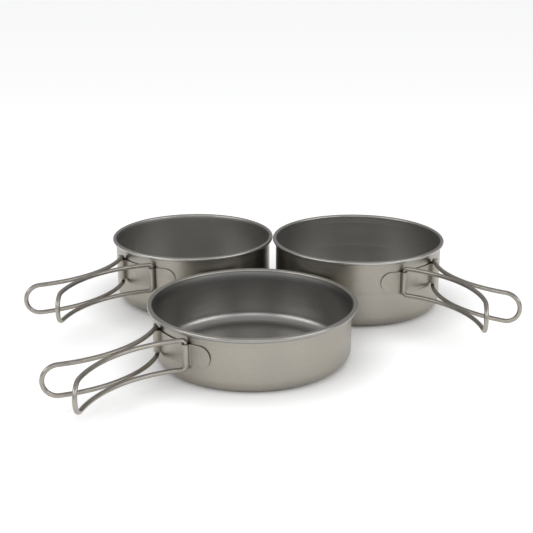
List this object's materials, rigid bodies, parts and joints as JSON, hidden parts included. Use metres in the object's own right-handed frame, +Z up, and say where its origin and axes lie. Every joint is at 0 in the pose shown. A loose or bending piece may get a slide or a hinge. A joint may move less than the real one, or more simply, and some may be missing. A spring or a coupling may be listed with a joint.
{
  "type": "cooking pot set",
  "caption": "Titanium camping cookware set: a wide shallow pan and deeper round pots with rolled rims, each with folding wire handles on a welded bracket.",
  "frame": {"origin": "on the surface that the set stands on, under the middle of its bounding box", "axes": "+Z up; +X to the right across the set as a cook sees it, +Y away from them, with the pan nearest and the two pots behind it"},
  "size_m": [0.3592, 0.331, 0.0547],
  "materials": {
    "titanium_shell": "matte, finely blasted bare titanium with faint rings round the wall",
    "titanium_strap": "satin bare titanium sheet",
    "titanium_wire": "satin bare titanium wire"
  },
  "bodies": {
    "large_pot": {"large_pot_shell": "titanium_shell", "large_pot_bracket": "titanium_strap"},
    "large_pot_right_handle": {"large_pot_right_handle": "titanium_wire"},
    "large_pot_left_handle": {"large_pot_left_handle": "titanium_wire"},
    "small_pot": {"small_pot_shell": "titanium_shell", "small_pot_bracket": "titanium_strap"},
    "small_pot_right_handle": {"small_pot_right_handle": "titanium_wire"},
    "small_pot_left_handle": {"small_pot_left_handle": "titanium_wire"},
    "pan": {"pan_shell": "titanium_shell", "pan_bracket": "titanium_strap"},
    "pan_right_handle": {"pan_right_handle": "titanium_wire"},
    "pan_left_handle": {"pan_left_handle": "titanium_wire"}
  },
  "joints": [
    {"name": "large_pot_right_handle_fold", "type": "hinge", "parent": "large_pot", "child": "large_pot_right_handle", "pos_m": [0.12844, 0.04691, 0.0369], "axis": [0, 0, 1], "range_deg": [0, 150]},
    {"name": "large_pot_left_handle_fold", "type": "hinge", "parent": "large_pot", "child": "large_pot_left_handle", "pos_m": [0.10274, 0.02465, 0.0369], "axis": [0, 0, -1], "range_deg": [0, 56]},
    {"name": "small_pot_lift", "type": "slide", "parent": "large_pot", "child": "small_pot", "axis": [0, 0, 1], "range_m": [0, 0.07]},
    {"name": "small_pot_right_handle_fold", "type": "hinge", "parent": "small_pot", "child": "small_pot_right_handle", "pos_m": [-0.09055, 0.04151, 0.0345], "axis": [0, 0, 1], "range_deg": [0, 40]},
    {"name": "small_pot_left_handle_fold", "type": "hinge", "parent": "small_pot", "child": "small_pot_left_handle", "pos_m": [-0.11621, 0.06381, 0.0345], "axis": [0, 0, -1], "range_deg": [0, 143]},
    {"name": "pan_lift", "type": "slide", "parent": "large_pot", "child": "pan", "axis": [0, 0, 1], "range_m": [0, 0.07]},
    {"name": "pan_right_handle_fold", "type": "hinge", "parent": "pan", "child": "pan_right_handle", "pos_m": [-0.05585, -0.08976, 0.0243], "axis": [0, 0, 1], "range_deg": [0, 128]},
    {"name": "pan_left_handle_fold", "type": "hinge", "parent": "pan", "child": "pan_left_handle", "pos_m": [-0.07744, -0.06348, 0.0243], "axis": [0, 0, -1], "range_deg": [0, 71]}
  ]
}
